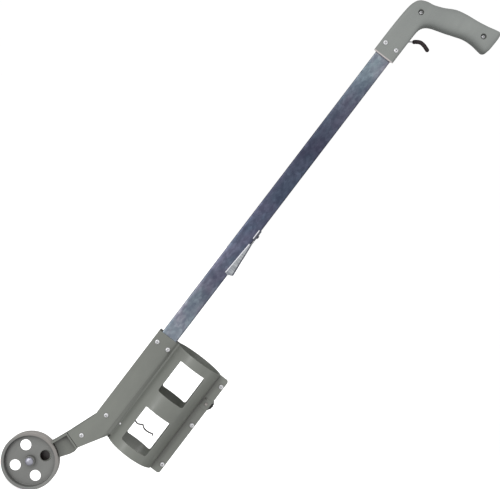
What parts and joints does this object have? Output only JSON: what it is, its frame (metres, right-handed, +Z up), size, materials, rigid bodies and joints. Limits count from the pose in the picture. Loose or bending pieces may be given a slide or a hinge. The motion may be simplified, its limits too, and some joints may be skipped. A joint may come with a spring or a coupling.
{
  "type": "aerosol line-marking wand",
  "caption": "Upright marking wand: pistol grip with wire trigger, square tube, clamped can cradle with valve yoke, and a guide wheel on an angled arm.",
  "frame": {"origin": "middle of the pistol grip, on the split plane of its two shells", "axes": "+Z up along the tube towards the grip, +X from the tube towards the can cradle and the grip's heel, +Y away from the screw heads"},
  "size_m": [0.2105, 0.077, 0.9479],
  "materials": {
    "body_plastic": "moulded grey-green polypropylene, fine texture, light scuffs",
    "grip_plastic": "moulded light grey plastic, satin",
    "galvanised_tube": "galvanised steel, mottled blue-grey",
    "clip_steel": "plated spring steel with fine grooves",
    "bright_steel": "bright zinc plate",
    "dark_steel": "oiled dark steel",
    "dull_steel": "dull, slightly tarnished steel",
    "black_vinyl": "dipped black vinyl",
    "black_plastic": "moulded black plastic",
    "white_nylon": "natural nylon"
  },
  "bodies": {
    "frame": {"body_shell_near": "body_plastic", "body_shell_far": "body_plastic", "wheel_bracket": "body_plastic", "grip_shell_near": "grip_plastic", "grip_shell_far": "grip_plastic", "tube": "galvanised_tube", "belt_clip": "clip_steel", "belt_clip_rivet": "clip_steel", "axle": "bright_steel", "axle_washer": "bright_steel", "axle_nut": "bright_steel", "trigger_pin": "bright_steel", "yoke_pin": "bright_steel", "grip_front_screw": "bright_steel", "grip_rear_screw": "bright_steel", "collar_left_screw": "bright_steel", "collar_left_nut": "bright_steel", "collar_right_screw": "bright_steel", "collar_right_nut": "bright_steel", "arm_upper_screw": "bright_steel", "arm_upper_nut": "bright_steel", "arm_lower_screw": "bright_steel", "arm_lower_nut": "bright_steel", "flange_top_screw": "bright_steel", "flange_top_nut": "bright_steel", "flange_middle_screw": "bright_steel", "flange_middle_nut": "bright_steel", "flange_bottom_screw": "bright_steel", "flange_bottom_nut": "bright_steel", "socket_left_screw": "bright_steel", "socket_left_nut": "bright_steel", "socket_right_screw": "bright_steel", "socket_right_nut": "bright_steel", "clamp_stud": "dull_steel", "rod_guide_upper": "white_nylon", "rod_guide_lower": "white_nylon"},
    "wheel": {"wheel": "body_plastic", "wheel_bushing": "white_nylon"},
    "trigger": {"trigger_lever": "white_nylon", "trigger_wire": "bright_steel", "trigger_sleeve": "black_vinyl"},
    "rod": {"push_rod": "dark_steel", "rod_collar": "bright_steel", "rod_foot": "white_nylon", "return_spring": "bright_steel"},
    "yoke": {"yoke_lever": "white_nylon", "yoke_wire": "dark_steel"},
    "washer": {"clamp_washer": "bright_steel"},
    "knob": {"clamp_knob": "black_plastic"}
  },
  "joints": [
    {"name": "wheel_spin", "type": "hinge", "parent": "frame", "child": "wheel", "pos_m": [-0.1161, 0, -0.8819], "axis": [0, 1, 0], "continuous": true},
    {"name": "trigger_pull", "type": "hinge", "parent": "frame", "child": "trigger", "pos_m": [-0.0545, 0, -0.07], "axis": [0, -1, 0], "range_deg": [0, 11]},
    {"name": "rod_push", "type": "slide", "parent": "frame", "child": "rod", "axis": [0, 0, -1], "range_m": [0, 0.00182], "stiffness_N_per_m": 3000, "springref_m": -0.003, "deforming": ["return_spring"]},
    {"name": "yoke_lift", "type": "hinge", "parent": "frame", "child": "yoke", "pos_m": [-0.0446, 0, -0.757], "axis": [0, -1, 0], "range_deg": [0, 7.3]},
    {"name": "clamp_back_off", "type": "slide", "parent": "frame", "child": "washer", "axis": [0, 1, 0], "range_m": [0, 0.00161]},
    {"name": "clamp_turn", "type": "hinge", "parent": "washer", "child": "knob", "pos_m": [0.0376, 0, -0.6623], "axis": [0, 1, 0], "range_deg": [0, 720]}
  ],
  "couplings": [
    {"joint": "trigger_pull", "follows": "rod_push", "rad_per_m": 105.26},
    {"joint": "yoke_lift", "follows": "rod_push", "rad_per_m": 69.444},
    {"joint": "clamp_back_off", "follows": "clamp_turn", "m_per_rad": 0.00012732}
  ]
}
